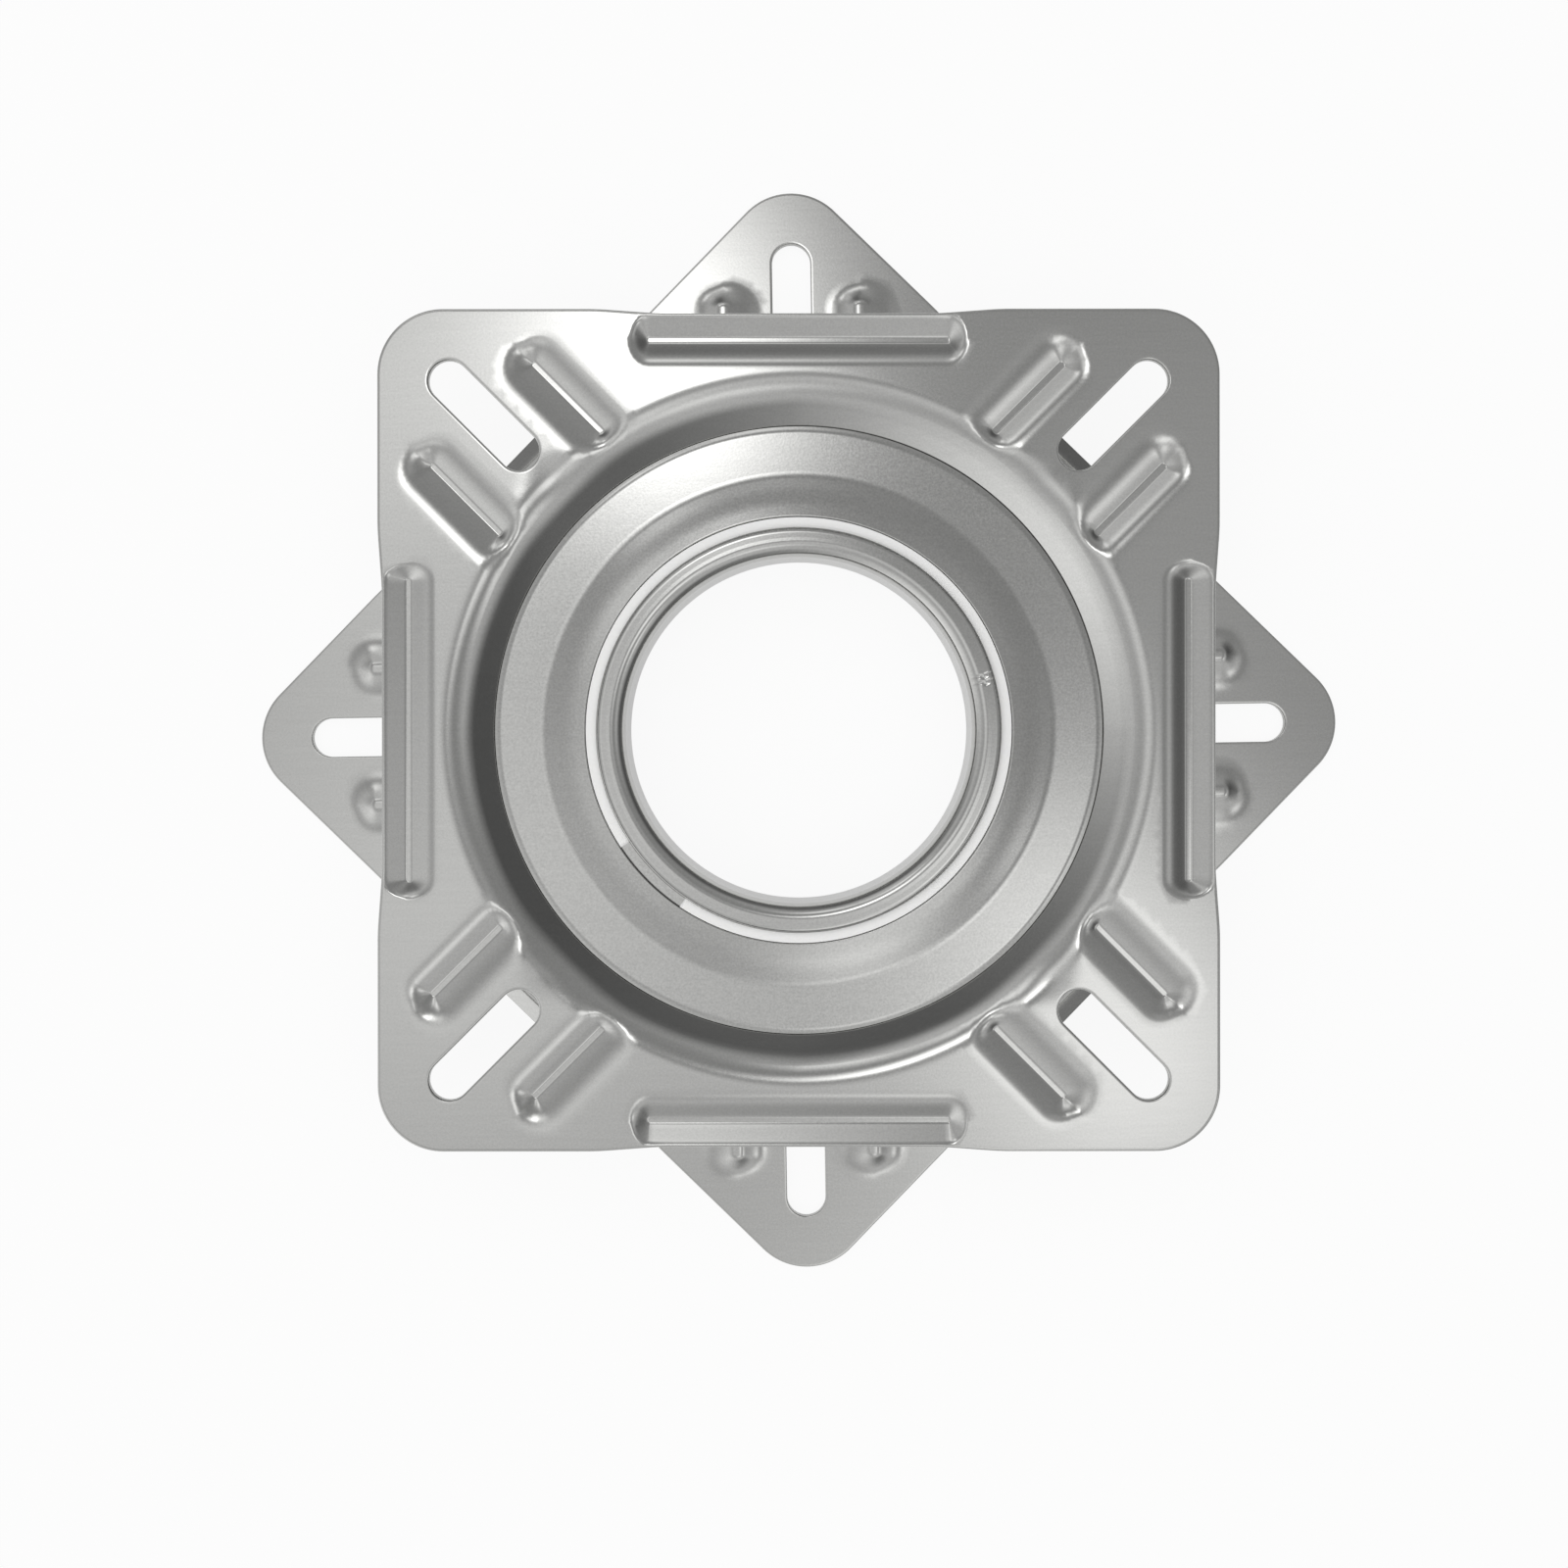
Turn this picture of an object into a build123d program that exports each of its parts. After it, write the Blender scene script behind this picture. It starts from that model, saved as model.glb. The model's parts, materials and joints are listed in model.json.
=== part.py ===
from build123d import *
from math import atan2, cos, radians, sin, sqrt, tan
import os

# Seat swivel plate: two identical pressed plates, back to back, turn on a ring of balls
# and are held together by a hub sleeve whose ends are rolled over two retaining rings.
# Millimetres, +Z up, origin under the swivel axis on the mounting plane of the lower plate.

# Overall sizes; the radii below follow outwards from the bore of the hub sleeve
overall_height = 25.0
upper_plate_turn = -0.9
lower_plate_turn = 45.0
corners = 4

# Hub sleeve
sleeve_bore_r = 37.5
sleeve_wall = 1.5
sleeve_bend_r = 1.2
sleeve_flange_width = 4.5
sleeve_edge_round = 0.5
sleeve_outer_r = sleeve_bore_r + sleeve_wall
sleeve_flange_r = sleeve_outer_r + sleeve_flange_width

# Liner strips, one under each rolled flange of the sleeve
liner_clearance = 0.1
liner_leg_clearance = 0.15
liner_leg_thickness = 1.1
liner_leg_drop = 0.2
liner_border_width = 2.5
liner_gap_angle = 22.5
upper_liner_gap_middle = 223.8
lower_liner_gap_middle = 40.0
liner_inner_r = sleeve_outer_r + liner_leg_clearance
liner_outer_r = sleeve_flange_r + liner_border_width

# Retaining rings
ring_sheet = 1.5
ring_step_depth = 0.9
ring_step_overlap = 1.0
ring_dome_width = 9.2
ring_dome_rise = 1.5
ring_flat_width = 10.0
ring_soft_bend_r = 8.0
ring_edge_round = 0.6
ring_overhang = 1.3
ring_bore_r = liner_inner_r + liner_leg_thickness + liner_leg_clearance
ring_step_r = liner_outer_r + liner_clearance
ring_flat_r = ring_step_r + ring_dome_width
ring_outer_r = ring_flat_r + ring_flat_width

# Ball bearing between the two dishes
ball_count = 24
ball_diameter = 6.0
ball_race_clearance = 0.12
ball_pocket_clearance = 0.15
race_inset = 3.7
race_side_clearance = 0.2
race_depth = 1.32
race_flank_angle = 32.0
race_foot_bend_r = 1.0
cage_thickness = 2.4
cage_width = 7.4
ball_r = ball_diameter / 2
race_r = ball_r + race_side_clearance
ball_pitch_r = ring_flat_r + race_inset

# Plate: sheet, and the dish pressed into its middle
plate_sheet = 2.0
lip_width = 5.0
dish_wall_lean = 8.8
dish_rim_bend_r = 2.0
dish_foot_bend_r = 1.2
dish_collar_width = 6.0
lip_inner_r = ball_pitch_r - lip_width
dish_foot_r = ring_outer_r - ring_overhang
dish_rim_r = dish_foot_r + dish_wall_lean
dish_collar_r = dish_rim_r + dish_collar_width

# Outline of the plate
flange_width = 17.2
plate_corner_r = 14.0
plate_half = dish_rim_r + flange_width
plate_tip_r = (plate_half - plate_corner_r) * sqrt(2) + plate_corner_r

# Mounting slots, one on each diagonal of a plate
slot_width = 8.7
slot_length = 29.8
slot_tip_margin = 11.5
slot_centre_r = plate_tip_r - slot_tip_margin - slot_length / 2

# Ribs pressed into the flange: one along each side, and a pair beside each slot
rib_floor_width = 1.6
rib_end_run = 3.2
rib_shoulder_run = 1.0
rib_shoulder_depth = 0.3
edge_rib_margin = 6.3
edge_rib_length = 65.5
edge_rib_width = 10.6
edge_rib_depth = 2.2
corner_rib_margin = 1.7
corner_rib_spacing = 30.8
corner_rib_length = 21.6
corner_rib_width = 9.8
corner_rib_depth = 2.0
edge_rib_centre = plate_half - edge_rib_margin
corner_rib_centre = dish_rim_r + corner_rib_margin + corner_rib_length / 2

# Bow that each edge rib pulls into its side of the plate
side_bow_depth = 0.95
side_bow_run = 13.0
side_bow_inset = 2.75
side_bow_blend_r = 60.0
side_bow_inner = edge_rib_length / 2 - side_bow_inset
side_bow_outer = side_bow_inner + side_bow_run

# Heights above the middle of the bearing, for the upper half; the lower half mirrors them
half_height = overall_height / 2
flange_underside = half_height - plate_sheet
race_crest = ball_r + ball_race_clearance
lip_underside = race_crest - race_depth
lip_top = lip_underside + plate_sheet
ring_seat = race_crest + plate_sheet
ring_flat_top = ring_seat + ring_sheet
ring_step_top = ring_flat_top + ring_dome_rise
ring_ledge_top = ring_step_top - ring_step_depth
liner_underside = ring_ledge_top + liner_clearance
sleeve_flange_underside = ring_step_top
sleeve_top = sleeve_flange_underside + sleeve_wall
bearing_middle = Vector(0, 0, half_height)


def half_frame(turn, facing):
    """Plane through the middle of the bearing: its z runs towards one mounting face."""
    x_dir = Vector(cos(radians(turn)), sin(radians(turn)), 0)
    return Plane(origin=bearing_middle, x_dir=x_dir, z_dir=(0, 0, facing))


def section_plane(frame):
    """Plane of a turned section: its x is the radius and its y the height of the half."""
    return Plane(origin=frame.origin, x_dir=frame.x_dir, z_dir=frame.y_dir * -1)


def turning_axis(frame):
    """Axis that the sections of one half are revolved about."""
    return Axis(frame.origin, frame.z_dir)


upper_frame = half_frame(upper_plate_turn, 1)
lower_frame = half_frame(lower_plate_turn, -1)


def plate_outline():
    """Square with round corners, each side bowed in where its edge rib draws the sheet."""
    bow_reach = sqrt(plate_half ** 2 + side_bow_outer ** 2) + side_bow_depth
    with BuildSketch() as outline:
        Rectangle(2 * plate_half, 2 * plate_half)
        fillet(outline.vertices(), plate_corner_r)
        with PolarLocations(plate_half, corners):
            Polygon(
                (side_bow_depth, -side_bow_outer - side_bow_run),
                (-side_bow_depth, -side_bow_inner),
                (-side_bow_depth, side_bow_inner),
                (side_bow_depth, side_bow_outer + side_bow_run),
                align=None,
                mode=Mode.SUBTRACT,
            )
        bends = outline.vertices().filter_by(lambda v: Vector(v.X, v.Y, 0).length < bow_reach)
        fillet(bends, side_bow_blend_r)
    return outline.sketch


def dish_profile():
    """Section of the dish: collar, rim bend, wall, foot bend, ball race and inner lip."""
    wall_angle = atan2(half_height - lip_top, dish_wall_lean)
    corner_shift = plate_sheet * tan(wall_angle / 2)
    flank_angle = radians(race_flank_angle)
    race_peak = race_crest + race_r * (1 / cos(flank_angle) - 1)
    race_half = (race_peak - lip_underside) / tan(flank_angle)
    FilletPolyline(
        (dish_collar_r, flange_underside),
        (dish_rim_r + corner_shift, flange_underside),
        (dish_foot_r + corner_shift, lip_underside),
        (ball_pitch_r + race_half, lip_underside),
        (ball_pitch_r, race_peak),
        (ball_pitch_r - race_half, lip_underside),
        (lip_inner_r, lip_underside),
        radius=[
            dish_rim_bend_r,
            dish_foot_bend_r + plate_sheet,
            race_foot_bend_r + plate_sheet,
            race_r,
            race_foot_bend_r + plate_sheet,
        ],
    )
    offset(amount=plate_sheet, side=Side.RIGHT)


def rib_die(floor_length, width, depth):
    """Die of one rib, lying along x with its mouth at z = 0: floor, flanks and soft shoulder."""
    levels = [
        (-depth, 0.0, rib_floor_width),
        (-rib_shoulder_depth, rib_end_run, width),
        (0.0, rib_end_run + rib_shoulder_run, width + 2 * rib_shoulder_run),
    ]
    with BuildPart() as die:
        for level, end_run, level_width in levels:
            with BuildSketch(Plane.XY.offset(level)):
                SlotOverall(floor_length + 2 * end_run, level_width)
        loft(ruled=True)
    return die.part


def spot(frame, angle, along, across, level, turn=0.0):
    """Place on a plate, measured out from the axis and off to one side, at a height."""
    return frame.location * Rot(0, 0, angle) * Pos(along, across, level) * Rot(0, 0, turn)


def edge_rib_spots(frame, level):
    """Places of the ribs that run along the sides."""
    quarter = 360 / corners
    return [spot(frame, side * quarter, edge_rib_centre, 0, level, quarter) for side in range(corners)]


def corner_rib_spots(frame, level):
    """Places of the pairs of ribs that flank the slots on the diagonals."""
    quarter = 360 / corners
    return [
        spot(frame, (corner + 1 / 2) * quarter, corner_rib_centre, hand * corner_rib_spacing / 2, level)
        for corner in range(corners)
        for hand in (-1, 1)
    ]


def pressed_plate(frame, label):
    """One plate: flange, dish, ribs that stand out below as they sink in above, and slots."""
    edge_die = rib_die(edge_rib_length, edge_rib_width, edge_rib_depth)
    corner_die = rib_die(corner_rib_length, corner_rib_width, corner_rib_depth)
    with BuildPart() as plate:
        with BuildSketch(frame.offset(flange_underside)):
            add(plate_outline())
            Circle(dish_collar_r, mode=Mode.SUBTRACT)
        extrude(amount=plate_sheet)
        with BuildSketch(section_plane(frame)):
            with BuildLine():
                dish_profile()
            make_face()
        revolve(axis=turning_axis(frame))
        for level, mode in ((flange_underside, Mode.ADD), (half_height, Mode.SUBTRACT)):
            with Locations(*edge_rib_spots(frame, level)):
                add(edge_die, mode=mode)
            with Locations(*corner_rib_spots(frame, level)):
                add(corner_die, mode=mode)
        with BuildSketch(frame):
            add(plate_outline())
        extrude(amount=half_height, mode=Mode.INTERSECT)
        with BuildSketch(frame.offset(flange_underside)):
            with PolarLocations(slot_centre_r, corners, start_angle=180 / corners):
                SlotOverall(slot_length, slot_width)
        extrude(amount=plate_sheet, mode=Mode.SUBTRACT)
    plate.part.label = label
    return plate.part


def retaining_ring(frame, label):
    """Ring on the ball race: round edge, flat band, shallow dome and a stepped ledge."""
    dome_slope = ring_dome_rise / ring_dome_width
    ledge_width = ring_step_r - ring_bore_r + ring_step_overlap
    with BuildPart() as ring:
        with BuildSketch(section_plane(frame)) as section:
            with BuildLine():
                FilletPolyline(
                    (ring_outer_r, ring_flat_top),
                    (ring_flat_r, ring_flat_top),
                    (
                        ring_step_r - ring_step_overlap,
                        ring_step_top + dome_slope * ring_step_overlap,
                    ),
                    radius=ring_soft_bend_r,
                )
                offset(amount=ring_sheet, side=Side.LEFT)
            make_face()
            fillet(section.vertices().group_by(Axis.X)[-1], ring_edge_round)
            with Locations((ring_step_r, ring_ledge_top)):
                Rectangle(ledge_width, ring_sheet, align=(Align.MAX, Align.MIN), mode=Mode.SUBTRACT)
            with Locations((ring_bore_r, ring_ledge_top)):
                Rectangle(ledge_width, ring_sheet, align=(Align.MIN, Align.MAX))
        revolve(axis=turning_axis(frame))
    ring.part.label = label
    return ring.part


def liner_strip(frame, label):
    """Split strip of L section: flat under the rolled flange, its leg down the ring's bore."""
    leg_r = liner_inner_r + liner_leg_thickness
    leg_foot = ring_ledge_top - ring_sheet - liner_leg_drop
    with BuildPart() as liner:
        with BuildSketch(section_plane(frame)) as section:
            with BuildLine():
                Polyline(
                    (liner_inner_r, leg_foot),
                    (leg_r, leg_foot),
                    (leg_r, liner_underside),
                    (liner_outer_r, liner_underside),
                    (liner_outer_r, sleeve_flange_underside),
                    (liner_inner_r, sleeve_flange_underside),
                    close=True,
                )
            make_face()
            heel = section.vertices().group_by(Axis.X)[0].sort_by(Axis.Y)[-1]
            fillet(heel, sleeve_bend_r - liner_clearance)
        revolve(axis=turning_axis(frame), revolution_arc=360 - liner_gap_angle)
    liner.part.label = label
    return liner.part


def hub_sleeve():
    """Tube through the middle, rolled outwards into a flange at each end."""
    with BuildPart() as sleeve:
        with BuildSketch(section_plane(upper_frame)) as section:
            with BuildLine():
                FilletPolyline(
                    (sleeve_flange_r, sleeve_top),
                    (sleeve_bore_r, sleeve_top),
                    (sleeve_bore_r, -sleeve_top),
                    (sleeve_flange_r, -sleeve_top),
                    radius=sleeve_bend_r + sleeve_wall,
                )
                offset(amount=sleeve_wall, side=Side.LEFT)
            make_face()
            fillet(section.vertices().group_by(Axis.X)[-1], sleeve_edge_round)
        revolve(axis=turning_axis(upper_frame))
    sleeve.part.label = "hub_sleeve"
    return sleeve.part


def ball_cage():
    """Flat ring that spaces the balls, with a round pocket for each."""
    with BuildPart() as cage:
        with BuildSketch(Plane.XY.offset(half_height - cage_thickness / 2)):
            Circle(ball_pitch_r + cage_width / 2)
            Circle(ball_pitch_r - cage_width / 2, mode=Mode.SUBTRACT)
            with PolarLocations(ball_pitch_r, ball_count):
                Circle(ball_r + ball_pocket_clearance, mode=Mode.SUBTRACT)
        extrude(amount=cage_thickness)
    cage.part.label = "ball_cage"
    return cage.part


def bearing_ball(number):
    """One ball of the bearing, in its pocket of the cage."""
    angle = 360 * number / ball_count
    with BuildPart() as ball:
        with Locations(spot(Plane(bearing_middle), angle, ball_pitch_r, 0, 0)):
            Sphere(ball_r)
    ball.part.label = f"ball_{number + 1:02d}"
    return ball.part


upper_gap_end = half_frame(upper_liner_gap_middle + liner_gap_angle / 2, 1)
lower_gap_end = half_frame(lower_liner_gap_middle - liner_gap_angle / 2, -1)
pieces = [
    pressed_plate(upper_frame, "upper_plate"),
    retaining_ring(upper_frame, "upper_retaining_ring"),
    liner_strip(upper_gap_end, "upper_liner_strip"),
    hub_sleeve(),
    liner_strip(lower_gap_end, "lower_liner_strip"),
    retaining_ring(lower_frame, "lower_retaining_ring"),
    pressed_plate(lower_frame, "lower_plate"),
    ball_cage(),
]
pieces += [bearing_ball(number) for number in range(ball_count)]

os.makedirs("parts", exist_ok=True)
for piece in pieces:
    export_step(piece, f"parts/{piece.label}.step")
    print(piece.label, round(piece.volume, 1), piece.is_valid)
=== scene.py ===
"""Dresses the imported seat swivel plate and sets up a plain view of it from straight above.

The classes give lengths in millimetres in the space of one half of the swivel: x and y lie
across the plate and h is the height above the middle of the bearing. HalfFrame places such
points in the frame, in metres.
"""

from __future__ import annotations

import json
import logging
from dataclasses import dataclass, field
from enum import Enum

import bmesh
import bpy
import numpy as np
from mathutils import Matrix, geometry

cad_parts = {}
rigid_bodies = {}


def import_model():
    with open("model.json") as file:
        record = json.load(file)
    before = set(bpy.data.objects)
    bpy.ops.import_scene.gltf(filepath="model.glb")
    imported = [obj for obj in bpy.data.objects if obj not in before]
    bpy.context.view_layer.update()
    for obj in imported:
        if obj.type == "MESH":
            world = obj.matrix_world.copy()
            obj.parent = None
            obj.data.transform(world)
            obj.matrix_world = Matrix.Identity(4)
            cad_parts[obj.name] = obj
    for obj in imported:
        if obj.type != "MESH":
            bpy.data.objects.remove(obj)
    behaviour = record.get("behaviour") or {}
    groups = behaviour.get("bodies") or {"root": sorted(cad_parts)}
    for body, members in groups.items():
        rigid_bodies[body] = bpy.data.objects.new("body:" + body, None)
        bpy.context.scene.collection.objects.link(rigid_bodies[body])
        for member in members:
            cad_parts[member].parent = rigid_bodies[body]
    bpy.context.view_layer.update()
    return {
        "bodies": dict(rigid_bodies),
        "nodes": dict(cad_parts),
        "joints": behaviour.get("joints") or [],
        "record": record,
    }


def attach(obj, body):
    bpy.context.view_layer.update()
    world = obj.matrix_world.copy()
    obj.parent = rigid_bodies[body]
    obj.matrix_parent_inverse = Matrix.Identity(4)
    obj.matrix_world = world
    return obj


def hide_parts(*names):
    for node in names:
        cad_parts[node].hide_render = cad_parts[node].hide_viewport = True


MM = 0.001

# Straight beside each arc that keeps the shading of the straight level, in millimetres
GUARD = 0.1

# Points of neighbouring patches that lie closer than this are welded, in millimetres
WELD = 0.002

log = logging.getLogger("seat_swivel")


class Facing(Enum):
    """Way that the mounting face of a half looks."""

    UP = 1
    DOWN = -1


class Side(Enum):
    """Skin of a sheet: the one that the mounting face lies on, or the one behind it."""

    FACE = 1
    BACK = -1


def linear(code: str) -> tuple[float, float, float, float]:
    """Linear red, green and blue of six sRGB hex digits, and an alpha of 1."""
    srgb = np.array([int(code[i : i + 2], 16) for i in (0, 2, 4)]) / 255
    value = np.where(srgb <= 0.04045, srgb / 12.92, ((srgb + 0.055) / 1.055) ** 2.4)
    return (*value.tolist(), 1.0)


def bend(distance: np.ndarray, corner: float, run: float | np.ndarray) -> np.ndarray:
    """Ramp that starts at a corner and turns smoothly on both sides of it.

    The ramp is 0 before corner - run, distance - corner after corner + run, and between them
    (distance - corner + run) squared over 4 runs, so that height and slope join.

    Args:
        distance: Distances at which the ramp is wanted.
        corner: Distance at which the unrounded ramp would start.
        run: Half the length that the turn takes.

    Returns:
        Height of the ramp at each distance.
    """
    into = np.clip(distance - corner + run, 0, None)
    return np.where(into < 2 * run, into**2 / (4 * run), distance - corner)


def smooth(share: np.ndarray) -> np.ndarray:
    """Eases a share between 0 and 1: three times its square less twice its cube."""
    share = np.clip(share, 0, 1)
    return share * share * (3 - 2 * share)


def arcs(
    before: np.ndarray, corners: np.ndarray, after: np.ndarray, radii: np.ndarray, steps: int
) -> np.ndarray:
    """Rounds the corners of a section.

    An arc's ends lie radius / tan(half angle) from its corner, its centre lies
    radius / sin(half angle) away on the bisector, and the points between the ends turn evenly
    about the centre. A guard point on each straight keeps the shading of the straight level.

    Args:
        before: Corner before each one, as (n, 2) points.
        corners: The corners to round.
        after: Corner after each one.
        radii: Radius at each corner.
        steps: Parts that each arc is divided into.

    Returns:
        The rounded section as (points, 2).
    """
    back = before - corners
    onward = after - corners
    back = back / np.linalg.norm(back, axis=1, keepdims=True)
    onward = onward / np.linalg.norm(onward, axis=1, keepdims=True)
    half = 0.5 * np.arccos(np.clip((back * onward).sum(axis=1), -1, 1))
    tangent = (radii / np.tan(half))[:, None]
    bisector = back + onward
    bisector = bisector / np.linalg.norm(bisector, axis=1, keepdims=True)
    centre = corners + bisector * (radii / np.sin(half))[:, None]
    first = corners + back * tangent - centre
    last = corners + onward * tangent - centre
    sweep = (np.pi - 2 * half)[:, None, None]
    share = np.linspace(0, 1, steps + 1)[None, :, None]
    turned = np.sin((1 - share) * sweep) * first[:, None] + np.sin(share * sweep) * last[:, None]
    arc = centre[:, None] + turned / np.sin(sweep)
    lead = (corners + back * (tangent + GUARD))[:, None]
    trail = (corners + onward * (tangent + GUARD))[:, None]
    return np.concatenate([lead, arc, trail], axis=1).reshape(-1, 2)


def rounded_loop(corners: np.ndarray, radii: np.ndarray, steps: int = 6) -> np.ndarray:
    """Closed section with each corner rounded by its radius."""
    return arcs(np.roll(corners, 1, axis=0), corners, np.roll(corners, -1, axis=0), radii, steps)


def rounded_path(corners: np.ndarray, radii: np.ndarray, steps: int = 6) -> np.ndarray:
    """Open section whose inner corners are rounded and whose two ends stay."""
    turned = arcs(corners[:-2], corners[1:-1], corners[2:], radii, steps)
    return np.concatenate([corners[:1], turned, corners[-1:]])


def offset_path(corners: np.ndarray, amount: float) -> np.ndarray:
    """Path that runs beside another at a constant distance on its right.

    A corner moves by amount x (n0 + n1) / (1 + n0 . n1), where n0 and n1 are the unit normals of
    the runs that meet in it; an end moves by its own run's normal.

    Args:
        corners: The path as (n, 2) points.
        amount: Distance to the right, seen along the path.

    Returns:
        The moved corners.
    """
    run = np.diff(corners, axis=0)
    run = run / np.linalg.norm(run, axis=1, keepdims=True)
    normal = np.stack([run[:, 1], -run[:, 0]], axis=1)
    entering = np.concatenate([normal[:1], normal])
    leaving = np.concatenate([normal, normal[-1:]])
    spread = 1 + (entering * leaving).sum(axis=1, keepdims=True)
    return corners + amount * (entering + leaving) / spread


def spin(section: np.ndarray, angles: np.ndarray) -> np.ndarray:
    """Turns a section about the axis: (r, h) at angle a goes to (r cos a, r sin a, h)."""
    radius, height = section.T
    across = np.outer(np.cos(angles), radius)
    along = np.outer(np.sin(angles), radius)
    return np.stack([across, along, np.broadcast_to(height, across.shape)], axis=-1)


def round_ended(
    half: float, spacing: float, end_points: int
) -> tuple[np.ndarray, np.ndarray, np.ndarray]:
    """Points of a walk round a straight line, with half a turn at each of its ends.

    Args:
        half: Half the length of the line.
        spacing: Distance between the points beside it.
        end_points: Number of points round each end.

    Returns:
        How far along the line each point starts, and the parts along and across the line of
        the direction in which it leaves it.
    """
    count = int(2 * half / spacing)
    straight = np.linspace(-half, half, count)
    turn = np.linspace(np.pi / 2, -np.pi / 2, end_points + 2)[1:-1]
    still = np.zeros(count)
    places = np.concatenate([straight, half + 0 * turn, straight[::-1], -half + 0 * turn])
    along = np.concatenate([still, np.cos(turn), still, -np.cos(turn)])
    across = np.concatenate([still + 1, np.sin(turn), still - 1, -np.sin(turn)])
    return places, along, across


def whole_turn(count: int) -> np.ndarray:
    """Angles that divide a whole turn evenly, without the last that repeats the first."""
    return np.arange(count) * (2 * np.pi / count)


def grid_faces(rows: int, columns: int, wrap_rows: bool, wrap_columns: bool) -> np.ndarray:
    """Four-sided faces between the neighbours of a grid of points numbered row by row.

    Args:
        rows: Number of rows.
        columns: Points in each row.
        wrap_rows: Whether the last row joins the first.
        wrap_columns: Whether the last column joins the first.

    Returns:
        Point numbers of the faces as (faces, 4).
    """
    index = np.arange(rows * columns).reshape(rows, columns)
    if wrap_rows:
        index = np.concatenate([index, index[:1]])
    if wrap_columns:
        index = np.concatenate([index, index[:, :1]], axis=1)
    around = [index[:-1, :-1], index[1:, :-1], index[1:, 1:], index[:-1, 1:]]
    return np.stack(around, axis=-1).reshape(-1, 4)


@dataclass(frozen=True)
class HalfFrame:
    """Place of one half: turned about the swivel axis, and facing up or down."""

    turn: float
    facing: Facing
    middle: float = 12.5

    def place(self, points: np.ndarray) -> np.ndarray:
        """Moves points of the half, in millimetres, into the frame, in metres.

        The half's x turns by the angle about the axis, its h runs up or down, and its y is
        the cross product of the two, so that nothing is mirrored.
        """
        turn = np.radians(self.turn)
        x_dir = np.array([np.cos(turn), np.sin(turn), 0.0])
        h_dir = np.array([0.0, 0.0, float(self.facing.value)])
        basis = np.stack([x_dir, np.cross(h_dir, x_dir), h_dir])
        return (points @ basis + np.array([0.0, 0.0, self.middle])) * MM


@dataclass
class Shell:
    """Patches of one piece, welded into a single closed mesh."""

    points: list[np.ndarray] = field(default_factory=list)
    faces: list[list[int]] = field(default_factory=list)
    count: int = 0

    def add(self, points: np.ndarray, faces: np.ndarray) -> None:
        """Adds a patch, its faces given as point numbers within the patch."""
        flat = points.reshape(-1, 3)
        self.points.append(flat)
        self.faces.extend((faces + self.count).tolist())
        self.count += len(flat)

    def build(self, name: str, frame: HalfFrame, material: bpy.types.Material) -> bpy.types.Object:
        """Makes the object: places the points, welds the patches and turns the faces outwards.

        Args:
            name: Name of the piece.
            frame: Place of the half that it belongs to.
            material: Finish of the piece.

        Returns:
            The new object, with its place in its mesh.
        """
        mesh = bpy.data.meshes.new(name)
        mesh.from_pydata(frame.place(np.concatenate(self.points)).tolist(), [], self.faces)
        work = bmesh.new()
        work.from_mesh(mesh)
        bmesh.ops.remove_doubles(work, verts=work.verts, dist=WELD * MM)
        bmesh.ops.recalc_face_normals(work, faces=work.faces)
        open_edges = sum(1 for edge in work.edges if not edge.is_manifold)
        work.to_mesh(mesh)
        work.free()
        mesh.shade_smooth()
        mesh.materials.append(material)
        piece = bpy.data.objects.new(name, mesh)
        bpy.context.scene.collection.objects.link(piece)
        log.info("%s: %d faces, %d open edges", name, len(mesh.polygons), open_edges)
        return piece


def add_node(
    tree: bpy.types.NodeTree,
    kind: str,
    settings: dict[str | int, object] | None = None,
    links: dict[str | int, bpy.types.NodeSocket] | None = None,
    output: str | int = 0,
) -> bpy.types.NodeSocket | None:
    """Adds a node with its settings and links.

    Args:
        tree: Node tree that gets the node.
        kind: Type of the node, without the ShaderNode that they all start with.
        settings: Values for its sockets, by name or number, and for its properties after a dot.
        links: Sockets that feed its inputs.
        output: Name or number of the wanted output.

    Returns:
        That output, or None where the node has no outputs.
    """
    node = tree.nodes.new("ShaderNode" + kind)
    for key, value in (settings or {}).items():
        if isinstance(key, str) and key.startswith("."):
            setattr(node, key[1:], value)
        else:
            node.inputs[key].default_value = value
    for key, source in (links or {}).items():
        tree.links.new(source, node.inputs[key])
    return node.outputs[output] if len(node.outputs) else None


def new_material(name: str) -> tuple[bpy.types.Material, bpy.types.NodeTree]:
    """Material with an empty node tree."""
    material = bpy.data.materials.new(name)
    material.use_nodes = True
    material.node_tree.nodes.clear()
    return material, material.node_tree


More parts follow.
